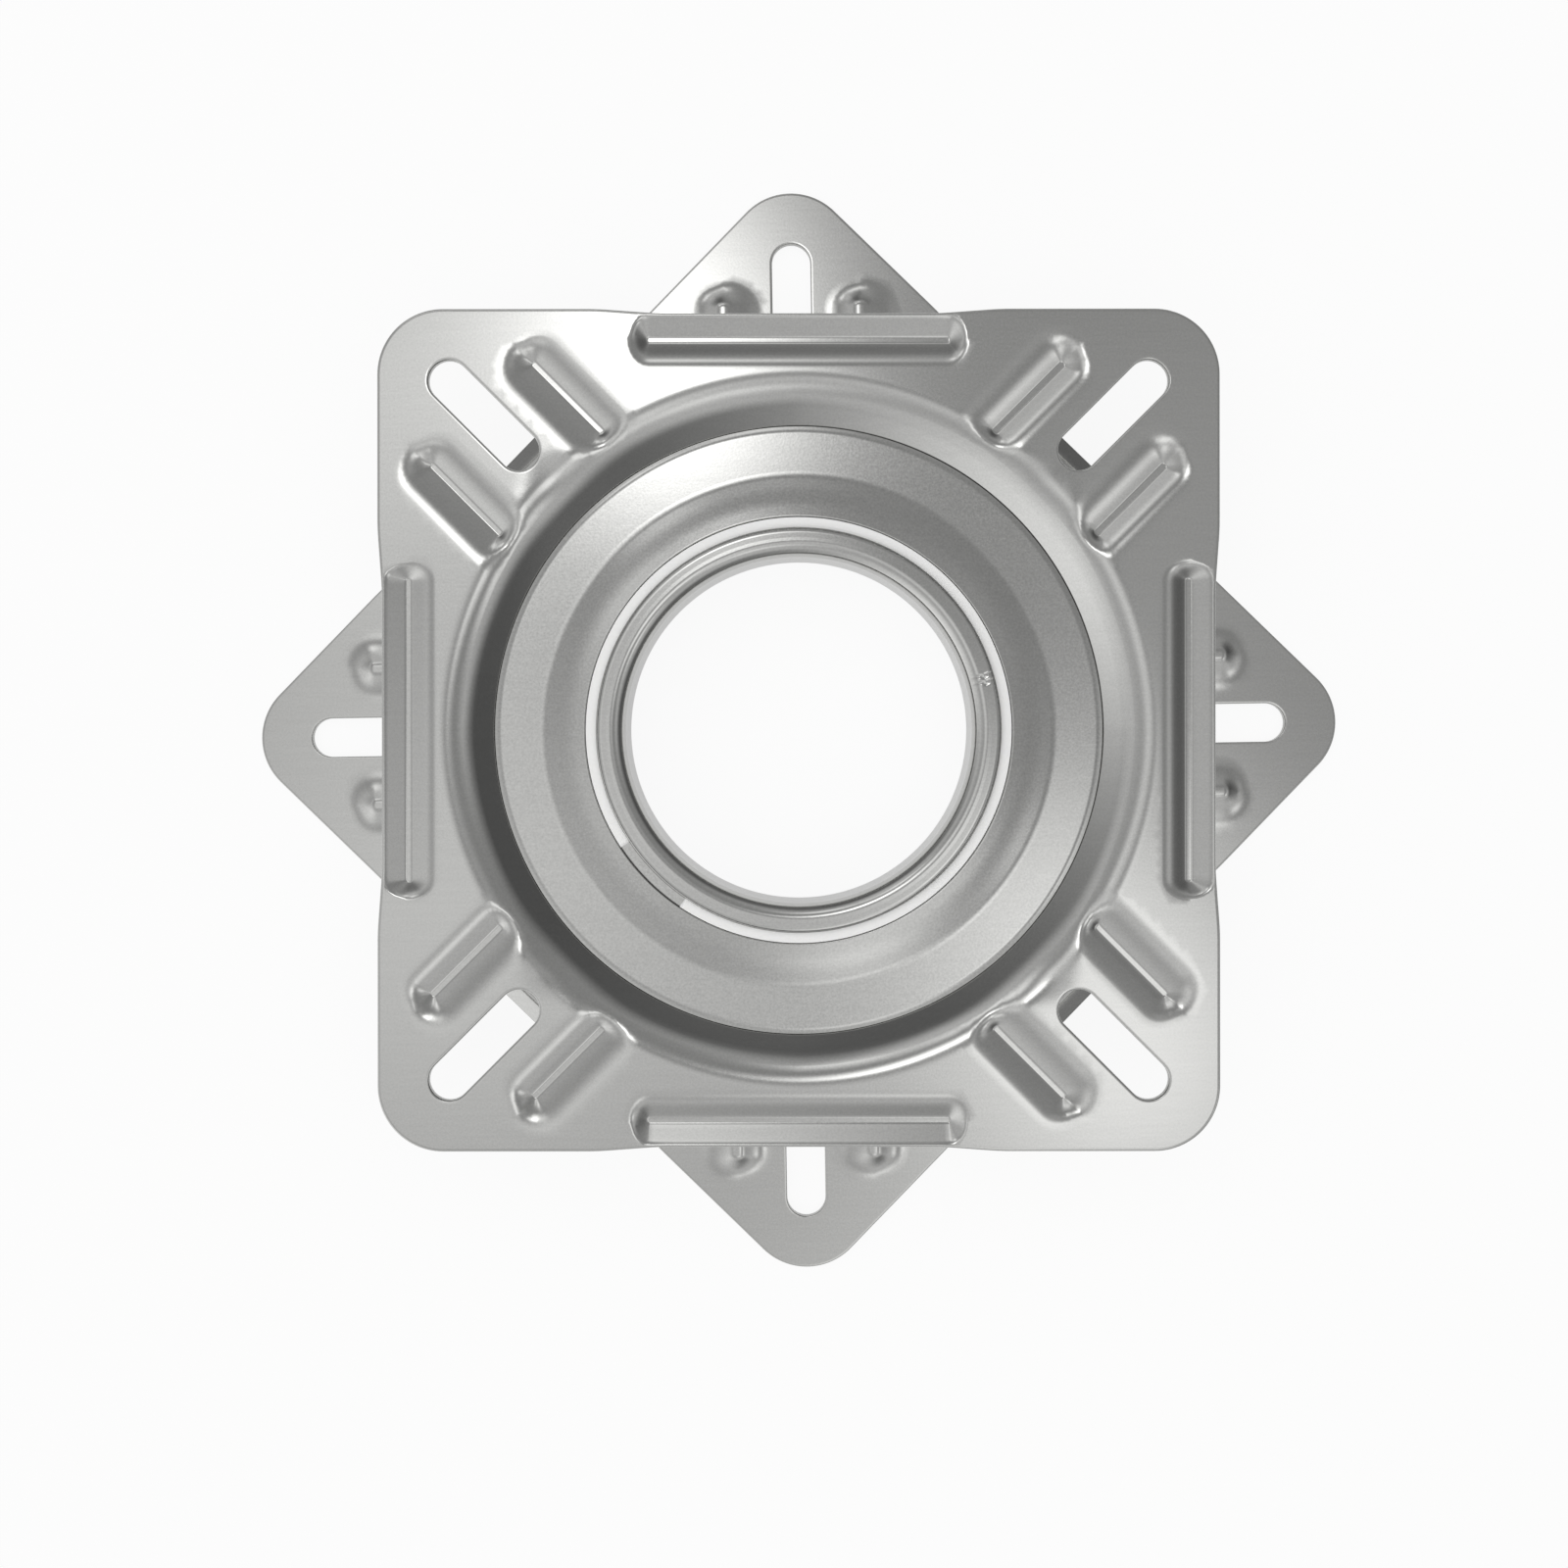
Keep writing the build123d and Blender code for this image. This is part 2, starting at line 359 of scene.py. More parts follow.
@dataclass(frozen=True)
class PressedMetal:
    """Cold-rolled sheet with a bright satin finish.

    The rolls leave a fine matt grain and faint streaks, so that reflections are soft-edged and
    slightly uneven, and handling leaves a few duller patches. The real grain is near a tenth of
    a millimetre; it is drawn at half a millimetre, because it would not show otherwise.
    """

    name: str
    tone: str = "C4C4C2"
    roughness: float = 0.1
    roughness_swing: float = 0.025
    grain_mm: float = 0.5
    grain_height_mm: float = 0.002
    grain_share: float = 0.035
    grain_span: tuple[float, float] = (0.35, 0.65)
    streak_mm: float = 0.9
    streak_ratio: float = 14.0
    streak_turn: float = 0.0
    streak_share: float = 0.04
    patch_mm: float = 35.0
    uneven_span: tuple[float, float] = (0.6, 1.4)

    def material(self) -> bpy.types.Material:
        """Metal whose colour, roughness and bump vary with the grain, streaks and patches."""
        material, tree = new_material(self.name)
        place = add_node(tree, "TexCoord", output="Object")
        turn = (0.0, 0.0, np.radians(-self.streak_turn))
        stretch = {"Rotation": turn, "Scale": (1.0, self.streak_ratio, 1.0)}
        turned = add_node(tree, "Mapping", stretch, {"Vector": place})
        grain, streaks, patches = (
            add_node(
                tree,
                "TexNoise",
                {"Scale": 1 / (size * MM), "Detail": detail, "Roughness": falloff},
                {"Vector": source},
            )
            for size, detail, falloff, source in (
                (self.grain_mm, 2.0, 0.6, place),
                (self.streak_mm * self.streak_ratio, 3.0, 0.5, turned),
                (self.patch_mm, 3.0, 0.5, place),
            )
        )
        base = linear(self.tone)
        darker = (*(channel * (1 - 2 * self.streak_share) for channel in base[:3]), 1.0)
        streaked = add_node(tree, "Mix", {".data_type": "RGBA", 6: darker, 7: base}, {0: streaks}, 2)
        speckle = add_node(
            tree,
            "MapRange",
            {
                "From Min": self.grain_span[0],
                "From Max": self.grain_span[1],
                "To Min": 1 - self.grain_share,
                "To Max": 1 + self.grain_share,
                ".clamp": False,
            },
            {"Value": grain},
        )
        multiply = {".data_type": "RGBA", ".blend_type": "MULTIPLY", 0: 1.0}
        tone = add_node(tree, "Mix", multiply, {6: streaked, 7: speckle}, 2)
        uneven = add_node(tree, "Math", {".operation": "ADD"}, {0: grain, 1: patches})
        rough = add_node(
            tree,
            "MapRange",
            {
                "From Min": self.uneven_span[0],
                "From Max": self.uneven_span[1],
                "To Min": self.roughness - self.roughness_swing,
                "To Max": self.roughness + self.roughness_swing,
            },
            {"Value": uneven},
        )
        bump = {"Strength": 1.0, "Distance": self.grain_height_mm * MM}
        relief = add_node(tree, "Bump", bump, {"Height": grain})
        surface = {"Base Color": tone, "Roughness": rough, "Normal": relief}
        shader = add_node(tree, "BsdfPrincipled", {"Metallic": 1.0}, surface)
        add_node(tree, "OutputMaterial", {}, {"Surface": shader})
        return material


@dataclass(frozen=True)
class MouldedNylon:
    """Injection-moulded nylon: off-white, slightly translucent, with a dull even skin.

    The texture of the mould is finer than its 0.6 mm here, which is as fine as it shows.
    """

    name: str
    tone: str = "EDEDEC"
    shade: float = 0.94
    roughness: float = 0.42
    skin_mm: float = 0.6
    skin_height_mm: float = 0.002
    depth_mm: float = 0.8

    def material(self) -> bpy.types.Material:
        """Nylon with a faint unevenness of the moulded skin."""
        material, tree = new_material(self.name)
        place = add_node(tree, "TexCoord", output="Object")
        grit = {"Scale": 1 / (self.skin_mm * MM), "Detail": 2.0}
        skin = add_node(tree, "TexNoise", grit, {"Vector": place})
        base = linear(self.tone)
        shaded = (*(channel * self.shade for channel in base[:3]), 1.0)
        tone = add_node(tree, "Mix", {".data_type": "RGBA", 6: shaded, 7: base}, {0: skin}, 2)
        bump = {"Strength": 1.0, "Distance": self.skin_height_mm * MM}
        relief = add_node(tree, "Bump", bump, {"Height": skin})
        shader = add_node(
            tree,
            "BsdfPrincipled",
            {
                "Roughness": self.roughness,
                "IOR": 1.53,
                "Subsurface Weight": 0.1,
                "Subsurface Radius": (1.0, 1.0, 0.9),
                "Subsurface Scale": self.depth_mm * MM,
            },
            {"Base Color": tone, "Normal": relief},
        )
        add_node(tree, "OutputMaterial", {}, {"Surface": shader})
        return material


@dataclass(frozen=True)
class Oblong:
    """Long shape on the flange, placed by its centre and its turn."""

    x: float
    y: float
    turn: float

    @property
    def centre(self) -> np.ndarray:
        """Centre of the shape."""
        return np.array([self.x, self.y])

    def axes(self) -> tuple[np.ndarray, np.ndarray]:
        """Unit vectors along and across the shape."""
        turn = np.radians(self.turn)
        return np.array([np.cos(turn), np.sin(turn)]), np.array([-np.sin(turn), np.cos(turn)])

    def offsets(self, xy: np.ndarray) -> tuple[np.ndarray, np.ndarray]:
        """How far points as (n, 2) lie from the centre, along and across the shape."""
        forward, sideways = self.axes()
        offset = xy - self.centre
        return offset @ forward, offset @ sideways


@dataclass(frozen=True)
class Rib(Oblong):
    """Straight groove pressed into the flange, sharp along its floor and soft at its mouth."""

    floor_length: float
    mouth_width: float
    depth: float
    floor_width: float = 1.4
    end_run: float = 2.8
    floor_bend: float = 0.3
    mouth_bend: float = 4.0
    far_bend: float = 2.0
    back_shift: float = 0.48
    floor_lines: int = 5
    flank_shares: tuple[float, ...] = (0.35, 0.7)
    mouth_lines: int = 6
    point_spacing: float = 1.0
    end_points: int = 11

    @property
    def half_floor(self) -> float:
        """Half the width of the floor."""
        return self.floor_width / 2

    @property
    def half_mouth(self) -> float:
        """Half the width at which the straight flanks would meet the flange."""
        return self.mouth_width / 2

    @property
    def half_spine(self) -> float:
        """Half the line that every width of the rib is measured from."""
        return self.floor_length / 2 - self.half_floor

    @property
    def end_stretch(self) -> float:
        """Width that one millimetre beyond the end of the spine counts for."""
        return self.half_mouth / (self.half_floor + self.end_run)

    def distance(self, xy: np.ndarray) -> np.ndarray:
        """Distance from the spine, in widths of the rib.

        It is hypot(across, overrun x end stretch), where the overrun is what a point lies
        beyond the end of the spine.
        """
        along, across = self.offsets(xy)
        overrun = np.clip(np.abs(along) - self.half_spine, 0, None)
        return np.hypot(across, overrun * self.end_stretch)

    def bends(self, side: Side) -> tuple[float, float, float, float]:
        """Distance and half length of a skin's bend at the floor, then of the one at the mouth."""
        if side is Side.FACE:
            return self.half_floor, self.floor_bend, self.half_mouth, self.mouth_bend
        floor = self.half_floor + self.back_shift
        mouth = self.half_mouth + self.back_shift
        return floor, self.floor_bend + self.back_shift, mouth, self.mouth_bend - self.back_shift

    def sink(self, xy: np.ndarray, side: Side) -> np.ndarray:
        """Depth of the rib: full on its floor, falling evenly to 0 at its mouth.

        The mouth turns by its own bend on one side and by the far bend on the other, right one.
        """
        distance = self.distance(xy)
        floor, floor_bend, mouth, mouth_bend = self.bends(side)
        outward = self.offsets(xy)[1] < 0
        outer_bend = np.where(outward, min(self.far_bend, mouth_bend), mouth_bend)
        climbed = bend(distance, floor, floor_bend) - bend(distance, mouth, outer_bend)
        return self.depth * (1 - climbed / (mouth - floor))

    def reach(self, side: Side) -> float:
        """Distance from the spine at which the flange is level again."""
        return sum(self.bends(side)[2:])

    def contours(self, side: Side) -> np.ndarray:
        """Closed lines of equal depth as (lines, points, 2), closest where the surface bends.

        A line at distance d runs d beside the spine, and round its ends as
        (spine end + d cos t / end stretch, d sin t).
        """
        floor, floor_bend, mouth, mouth_bend = self.bends(side)
        low = floor + floor_bend * np.linspace(-1, 1, self.floor_lines)
        high = mouth + mouth_bend * np.linspace(-1, 1, self.mouth_lines)
        flank = low[-1] + (high[0] - low[-1]) * np.array(self.flank_shares)
        lines = np.concatenate([low, flank, high])
        places, out, aside = round_ended(self.half_spine, self.point_spacing, self.end_points)
        along = places[None] + np.outer(lines, out / self.end_stretch)
        across = np.outer(lines, aside)
        forward, sideways = self.axes()
        return self.centre + along[..., None] * forward + across[..., None] * sideways


@dataclass(frozen=True)
class Slot(Oblong):
    """Round-ended mounting slot that points away from the axis."""

    length: float = 29.8
    width: float = 8.7
    point_spacing: float = 1.0
    end_points: int = 25

    @property
    def half_line(self) -> float:
        """Half the line between the centres of its round ends."""
        return (self.length - self.width) / 2

    def margin(self, xy: np.ndarray) -> np.ndarray:
        """Distance outside the slot, negative inside: that from its middle line, less half its width."""
        along, across = self.offsets(xy)
        beyond = np.clip(np.abs(along) - self.half_line, 0, None)
        return np.hypot(across, beyond) - self.width / 2

    def loop(self) -> tuple[np.ndarray, np.ndarray]:
        """Points of the slot's edge, and the unit normals at them that point into the slot."""
        places, out, aside = round_ended(self.half_line, self.point_spacing, self.end_points)
        forward, sideways = self.axes()
        normal = out[:, None] * forward + aside[:, None] * sideways
        return self.centre + places[:, None] * forward + normal * self.width / 2, -normal


@dataclass
class PressedPlate:
    """Square plate with a deep round dish, ribs, slots and bowed sides, pressed from sheet."""

    name: str
    node: str
    body: str
    frame: HalfFrame
    sheet: float = 2.0
    face: float = 12.5
    half_side: float = 90.0
    corner_r: float = 14.0
    bow_depth: float = 0.95
    bow_inner: float = 30.0
    bow_outer: float = 43.0
    bow_bend: float = 2.2
    edge_rib_r: float = 83.7
    corner_rib_r: float = 85.3
    corner_rib_aside: float = 15.4
    slot_r: float = 95.1
    rim_r: float = 72.3
    foot_r: float = 63.6
    rim_lead: float = 6.0
    rim_bend: float = 11.0
    knee_bend: float = 0.5
    foot_bend: float = 1.2
    floor_top: float = 3.8
    crease_r: float = 66.15
    crease_h: float = 6.35
    draw_start: float = 80.5
    draw_fan: float = 0.62
    draw_slope: float = 0.07
    draw_bend: float = 2.4
    draw_limit: float = 7.0
    race_r: float = 59.0
    race_crest: float = 3.12
    race_bend: float = 3.2
    race_flank: float = 32.0
    race_foot_bend: float = 1.0
    lip_r: float = 54.0
    lip_bend: float = 0.3
    face_edge: float = 0.4
    back_edge: float = 0.25
    face_seam_r: float = 72.0
    back_seam_r: float = 74.0

    # Points of the outline and the gaps between the lines that the mesh keeps to
    around: int = 360
    side_points: int = 151
    corner_points: int = 24
    fill_spacing: float = 1.5
    face_rings: int = 7
    back_rings: int = 4
    outer_rings: tuple[float, ...] = (0.7, 1.6)
    edge_line_gap: float = 0.35
    ring_to_rib: float = 0.4
    contour_to_edge: float = 0.8
    contour_to_seam: float = 0.35
    fill_to_edge: float = 1.1
    fill_to_rib: float = 0.7
    fill_to_rim: float = 2.4

    def seam_r(self, side: Side) -> float:
        """Radius at which a skin of the flange meets the dish."""
        return self.face_seam_r if side is Side.FACE else self.back_seam_r

    def inset(self, side: Side) -> float:
        """How far the level part of a skin stays inside its cut edge."""
        return self.face_edge if side is Side.FACE else self.back_edge

    def ribs(self) -> list[Rib]:
        """The rib along each side, and the pair that flanks each slot."""
        ribs = []
        for quarter in (0.0, 90.0, 180.0, 270.0):
            angle = np.radians(quarter)
            centre = self.edge_rib_r * np.array([np.cos(angle), np.sin(angle)])
            ribs.append(
                Rib(
                    *centre,
                    turn=quarter + 90,
                    floor_length=65.5,
                    mouth_width=9.5,
                    depth=2.2,
                    mouth_bend=1.5,
                    far_bend=0.2,
                )
            )
            angle = np.radians(quarter + 45)
            outward = np.array([np.cos(angle), np.sin(angle)])
            sideways = np.array([-np.sin(angle), np.cos(angle)])
            for hand in (-1, 1):
                centre = self.corner_rib_r * outward + hand * self.corner_rib_aside * sideways
                ribs.append(Rib(*centre, turn=quarter + 45, floor_length=21.6, mouth_width=8.6, depth=1.85))
        return ribs

    def slots(self) -> list[Slot]:
        """The slot on each diagonal."""
        angles = np.radians([45.0, 135.0, 225.0, 315.0])
        places = self.slot_r * np.stack([np.cos(angles), np.sin(angles)], axis=1)
        return [Slot(*place, np.degrees(angle)) for place, angle in zip(places, angles)]

    def bow(self, along: np.ndarray) -> np.ndarray:
        """What a side is drawn in at a distance along it from its middle.

        It is the bow's depth in the middle and falls evenly to 0 between the inner and outer
        distance, with a smooth turn at each.
        """
        distance = np.abs(along)
        climbed = bend(distance, self.bow_inner, self.bow_bend)
        climbed = climbed - bend(distance, self.bow_outer, self.bow_bend)
        return self.bow_depth * (1 - climbed / (self.bow_outer - self.bow_inner))

    def margin(self, xy: np.ndarray) -> np.ndarray:
        """Distance inside the outline: to the nearest side, or to the arc where a corner is nearer."""
        x, y = np.abs(xy).T
        sides = np.minimum(self.half_side - self.bow(y) - x, self.half_side - self.bow(x) - y)
        start = self.half_side - self.corner_r
        arc = self.corner_r - np.hypot(x - start, y - start)
        return np.where((x > start) & (y > start), arc, sides)

    def outline(self) -> tuple[np.ndarray, np.ndarray]:
        """Points of the outline and their outward unit normals, a quarter of it repeated four times.

        A side runs at half the side less its bow, and its normal leans by the slope of the bow;
        a corner is a quarter circle.
        """
        start = self.half_side - self.corner_r
        along = np.linspace(-start, start, self.side_points)
        side = np.stack([self.half_side - self.bow(along), along], axis=1)
        slope = np.gradient(side[:, 0], along)
        side_normal = np.stack([np.ones_like(along), -slope], axis=1)
        side_normal /= np.linalg.norm(side_normal, axis=1, keepdims=True)
        turn = np.linspace(0, np.pi / 2, self.corner_points + 2)[1:-1]
        corner_normal = np.stack([np.cos(turn), np.sin(turn)], axis=1)
        points = np.concatenate([side, start + self.corner_r * corner_normal])
        normals = np.concatenate([side_normal, corner_normal])
        quarter_turn = np.array([[0.0, 1.0], [-1.0, 0.0]])
        turns = [np.linalg.matrix_power(quarter_turn, number) for number in range(4)]
        return (
            np.concatenate([points @ turned for turned in turns]),
            np.concatenate([normals @ turned for turned in turns]),
        )

    def edge_loops(self) -> list[tuple[np.ndarray, np.ndarray]]:
        """The outline and the edge of each slot, with the normals that leave the metal."""
        return [self.outline(), *(slot.loop() for slot in self.slots())]

    def rim_centre(self) -> tuple[float, float]:
        """Radius and height of the centre of the rim bend."""
        wall_angle = np.arctan2(self.face - self.crease_h, self.rim_r - self.crease_r)
        return self.rim_r + self.rim_bend * np.tan(wall_angle / 2), self.face - self.rim_bend

    def settled(self, points: np.ndarray) -> np.ndarray:
        """Lowers the sheet between each pair of corner ribs, where the dish drew it in.

        With u along a diagonal and v across it, the drop is the slope x the ramp that starts at
        draw start - fan x |v| and runs inwards, held at the draw limit. The drop fades with the
        height of a point, from all of it on the flange to none on the floor of the dish.
        """
        flat = points.reshape(-1, 3)
        x, y, height = flat.T
        along = (np.abs(x) + np.abs(y)) / np.sqrt(2)
        across = np.abs(np.abs(x) - np.abs(y)) / np.sqrt(2)
        fan = self.draw_fan * (np.hypot(across, self.draw_bend) - self.draw_bend)
        inward = self.draw_start - fan - along
        drawn = bend(inward, 0.0, self.draw_bend) - bend(inward, self.draw_limit, self.draw_bend)
        share = smooth((height - self.floor_top) / (self.face - self.sheet - self.floor_top))
        return np.column_stack([x, y, height - self.draw_slope * drawn * share]).reshape(points.shape)

    def height(self, xy: np.ndarray, side: Side) -> np.ndarray:
        """Height of a skin of the flange and of the top of its rim bend.

        The flange is level at the face, or a sheet below it. Inside the centre of the rim bend
        the skin follows that bend's circle: centre height + sqrt(radius squared - (centre
        radius - r) squared). The ribs' depth is taken off, fading out over the bend.
        """
        distance = np.hypot(*xy.T)
        centre_r, centre_h = self.rim_centre()
        radius = self.rim_bend if side is Side.FACE else self.rim_bend - self.sheet
        into = np.clip(centre_r - distance, 0, radius)
        level = centre_h + np.sqrt(radius**2 - into**2)
        seam = self.seam_r(side)
        sunk = sum(rib.sink(xy, side) for rib in self.ribs())
        return level - sunk * smooth((distance - seam) / (centre_r - seam))

    def clear_of_edges(self, xy: np.ndarray, gap: float) -> np.ndarray:
        """Whether points lie further than a gap inside the outline and outside the slots."""
        clear = self.margin(xy) > gap
        for slot in self.slots():
            clear &= slot.margin(xy) > gap
        return clear

    def clear_of_ribs(self, xy: np.ndarray, side: Side, gap: float) -> np.ndarray:
        """Whether points lie further than a gap from every rib."""
        clear = np.ones(len(xy), dtype=bool)
        for rib in self.ribs():
            clear &= rib.distance(xy) > rib.reach(side) + gap
        return clear

    def lines(self, side: Side) -> list[tuple[np.ndarray, np.ndarray]]:
        """Closed lines that the mesh of a skin keeps to, along edges, rim bend and ribs.

        Each comes with an array that says which of its points are used.
        """
        inset = self.inset(side)
        seam = self.seam_r(side)
        centre_r = self.rim_centre()[0]
        lines = []
        for points, normals in self.edge_loops():
            for gap in (inset, inset + self.edge_line_gap):
                lines.append((points - normals * gap, np.ones(len(points), dtype=bool)))
        angles = whole_turn(self.around)
        circle = np.stack([np.cos(angles), np.sin(angles)], axis=1)
        inner_rings = np.linspace(seam, centre_r, self.face_rings if side is Side.FACE else self.back_rings)
        lines.append((circle * seam, np.ones(self.around, dtype=bool)))
        for radius in [*inner_rings[1:], *(centre_r + step for step in self.outer_rings)]:
            ring = circle * radius
            lines.append((ring, self.clear_of_ribs(ring, side, self.ring_to_rib)))
        for rib in self.ribs():
            for line in rib.contours(side):
                clear = self.clear_of_edges(line, inset + self.contour_to_edge)
                lines.append((line, clear & (np.hypot(*line.T) > seam + self.contour_to_seam)))
        return lines

    def fill(self, side: Side) -> np.ndarray:
        """Even points between the lines of a skin, every other row shifted by half a step."""
        span = np.arange(-self.half_side, self.half_side, self.fill_spacing)
        x, y = np.meshgrid(span, span)
        x = x + np.where(np.arange(len(span)) % 2, self.fill_spacing / 2, 0)[:, None]
        fill = np.stack([x.ravel(), y.ravel()], axis=1)
        clear = self.clear_of_edges(fill, self.inset(side) + self.fill_to_edge)
        clear &= self.clear_of_ribs(fill, side, self.fill_to_rib)
        return fill[clear & (np.hypot(*fill.T) > self.rim_centre()[0] + self.fill_to_rim)]

    def skin(self, side: Side) -> tuple[np.ndarray, np.ndarray]:
        """One skin of the flange, from its seam with the dish to its edges.

        Constrained triangles join its lines and the even fill between them, those outside the
        sheet are left out, and the height function lifts the points.

        Args:
            side: Skin of the sheet.

        Returns:
            Points as (n, 3) and triangles as (m, 3).
        """
        points = [self.fill(side)]
        edges = []
        start = len(points[0])
        for line, used in self.lines(side):
            number = np.cumsum(used) - 1 + start
            joined = used & np.roll(used, -1)
            edges.append(np.stack([number, np.roll(number, -1)], axis=1)[joined])
            points.append(line[used])
            start += int(used.sum())
        flat = np.concatenate(points)
        pairs = np.concatenate(edges)
        made = geometry.delaunay_2d_cdt(flat.tolist(), pairs.tolist(), [], 0, 1e-7, True)
        if len(made[0]) != len(flat):
            log.warning("%s: %d points became %d", self.name, len(flat), len(made[0]))
        triangles = np.array(made[2])
        centroid = flat[triangles].mean(axis=1)
        chord = self.seam_r(side) * np.cos(np.pi / self.around)
        inside = self.clear_of_edges(centroid, self.inset(side)) & (np.hypot(*centroid.T) > chord)
        return np.column_stack([flat, self.height(flat, side)]), triangles[inside]

    def edge(self, points: np.ndarray, normals: np.ndarray) -> tuple[np.ndarray, np.ndarray]:
        """Cut edge between the two skins, with its arris rolled over on the face.

        Round each arris a row at angle t lies radius x (1 - sin t) inside the edge and
        radius x (1 - cos t) below its skin.

        Args:
            points: Loop of the edge as (n, 2).
            normals: Unit normals at the points that leave the metal.

        Returns:
            Points as (rows, n, 3) and the faces between them.
        """
        rows = []
        turn = np.linspace(0, np.pi / 2, 5)
        for side, step in ((Side.FACE, turn), (Side.BACK, turn[::-1])):
            radius = self.inset(side)
            inset = radius * (1 - np.sin(step))
            drop = radius * (1 - np.cos(step)) * side.value
            xy = points[None] - normals[None] * inset[:, None, None]
            height = self.height(xy.reshape(-1, 2), side).reshape(len(step), -1)
            rows.append(np.concatenate([xy, (height - drop[:, None])[..., None]], axis=2))
        grid = np.concatenate(rows)
        return grid, grid_faces(len(grid), len(points), False, True)

    def dish(self) -> tuple[np.ndarray, np.ndarray]:
        """Dish turned from its section: rim bend, wall, foot bend, ball race and inner lip.

        The back of the section is the path of the sheet's underside, and the face is the same
        path a sheet's thickness further out.
        """
        back_floor = self.floor_top - self.sheet
        flank = np.radians(self.race_flank)
        peak = self.race_crest + self.race_bend * (1 / np.cos(flank) - 1)
        half = (peak - back_floor) / np.tan(flank)
        wall = np.array(
            [
                (self.rim_r + self.rim_lead, self.face),
                (self.rim_r, self.face),
                (self.crease_r, self.crease_h),
                (self.foot_r, self.floor_top),
                (self.race_r, self.floor_top),
            ]
        )
        race = np.array(
            [
                (self.race_r + half, back_floor),
                (self.race_r, peak),
                (self.race_r - half, back_floor),
                (self.lip_r, back_floor),
            ]
        )
        back = np.concatenate([offset_path(wall, -self.sheet)[:4], race])
        face = offset_path(back, self.sheet)
        dish_bends = [self.rim_bend, self.knee_bend, self.foot_bend]
        bends = np.array([*dish_bends, self.race_foot_bend, self.race_bend, self.race_foot_bend])
        back_bends = bends + np.array([-1, 0, 1, 1, 0, 1]) * self.sheet
        face_bends = bends + np.array([0, 0, 0, 0, 1, 0]) * self.sheet
        lip_corners = np.array([face[-2], face[-1], back[-1], back[-2]])
        lip_bends = np.full(2, self.lip_bend)
        lip = arcs(lip_corners[:-2], lip_corners[1:-1], lip_corners[2:], lip_bends, 4)
        face_path = rounded_path(face, face_bends, 10)[:-1]
        back_path = rounded_path(back, back_bends, 10)[:-1][::-1]
        face_path = face_path[face_path[:, 0] < self.face_seam_r - WELD]
        back_path = back_path[back_path[:, 0] < self.back_seam_r - WELD]
        first, last = (
            np.array([(self.seam_r(side), self.height(np.array([(self.seam_r(side), 0.0)]), side)[0])])
            for side in Side
        )
        section = np.concatenate([first, face_path, lip, back_path, last])
        grid = spin(section, whole_turn(self.around))
        return grid, grid_faces(self.around, len(section), True, False)

    def build(self, material: bpy.types.Material) -> bpy.types.Object:
        """Builds the plate and puts it in place of its node."""
        patches = [self.skin(Side.FACE), self.skin(Side.BACK)]
        patches += [self.edge(*loop) for loop in self.edge_loops()]
        patches.append(self.dish())
        shell = Shell()
        for points, faces in patches:
            shell.add(self.settled(points), faces)
        return settle(shell.build(self.name, self.frame, material), self.node, self.body)


def settle(piece: bpy.types.Object, node: str, body: str) -> bpy.types.Object:
    """Makes a piece stand for its node and ride with its body."""
    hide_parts(node)
    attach(piece, body)
    return piece


@dataclass
class RetainingRing:
    """Ring that lies on the ball race: round edge, flat band, shallow dome and stepped ledge."""

    name: str
    node: str
    body: str
    frame: HalfFrame
    edge_r: float = 66.0
    edge_h: float = 6.28
    shoulder_r: float = 64.85
    flat_r: float = 55.3
    dome_r: float = 50.6
    dome_h: float = 7.6
    step_r: float = 46.1
    bore_r: float = 40.4
    sheet: float = 1.5
    flat_top: float = 6.62
    dome_top: float = 8.12
    ledge_top: float = 7.22
    overlap: float = 1.0
    edge_bend: float = 0.1
    shoulder_bend: float = 4.0
    flat_bend: float = 8.0
    dome_bend: float = 50.0
    arris: float = 0.3
    inner_bend: float = 0.2
    around: int = 480

    def section(self) -> np.ndarray:
        """Closed section of the ring, as radius and height: a table of corners and their bends."""
        slope = (self.dome_top - self.dome_h) / (self.dome_r - self.step_r)
        outside = np.array(
            [
                (self.shoulder_r, self.flat_top),
                (self.flat_r, self.flat_top),
                (self.dome_r, self.dome_h),
                (self.step_r - self.overlap, self.dome_top + slope * self.overlap),
            ]
        )
        inside = offset_path(outside, -self.sheet)
        inner_r = self.step_r + self.overlap
        under = inside[2, 1] + (self.dome_r - inner_r) * slope
        corners = np.array(
            [
                (self.edge_r, self.edge_h, self.edge_bend),
                (*outside[0], self.shoulder_bend),
                (*outside[1], self.flat_bend),
                (*outside[2], self.dome_bend),
                (self.step_r, self.dome_top, self.arris),
                (self.step_r, self.ledge_top, self.inner_bend),
                (self.bore_r, self.ledge_top, self.arris),
                (self.bore_r, self.ledge_top - self.sheet, self.arris),
                (inner_r, self.ledge_top - self.sheet, self.inner_bend),
                (inner_r, under, self.inner_bend),
                (*inside[2], self.dome_bend - self.sheet),
                (*inside[1], self.flat_bend + self.sheet),
                (self.edge_r - self.edge_h + inside[0, 1], inside[0, 1], self.inner_bend),
            ]
        )
        return rounded_loop(corners[:, :2], corners[:, 2])

    def build(self, material: bpy.types.Material) -> bpy.types.Object:
        """Builds the ring and puts it in place of its node."""
        section = self.section()
        shell = Shell()
        shell.add(spin(section, whole_turn(self.around)), grid_faces(self.around, len(section), True, True))
        return settle(shell.build(self.name, self.frame, material), self.node, self.body)


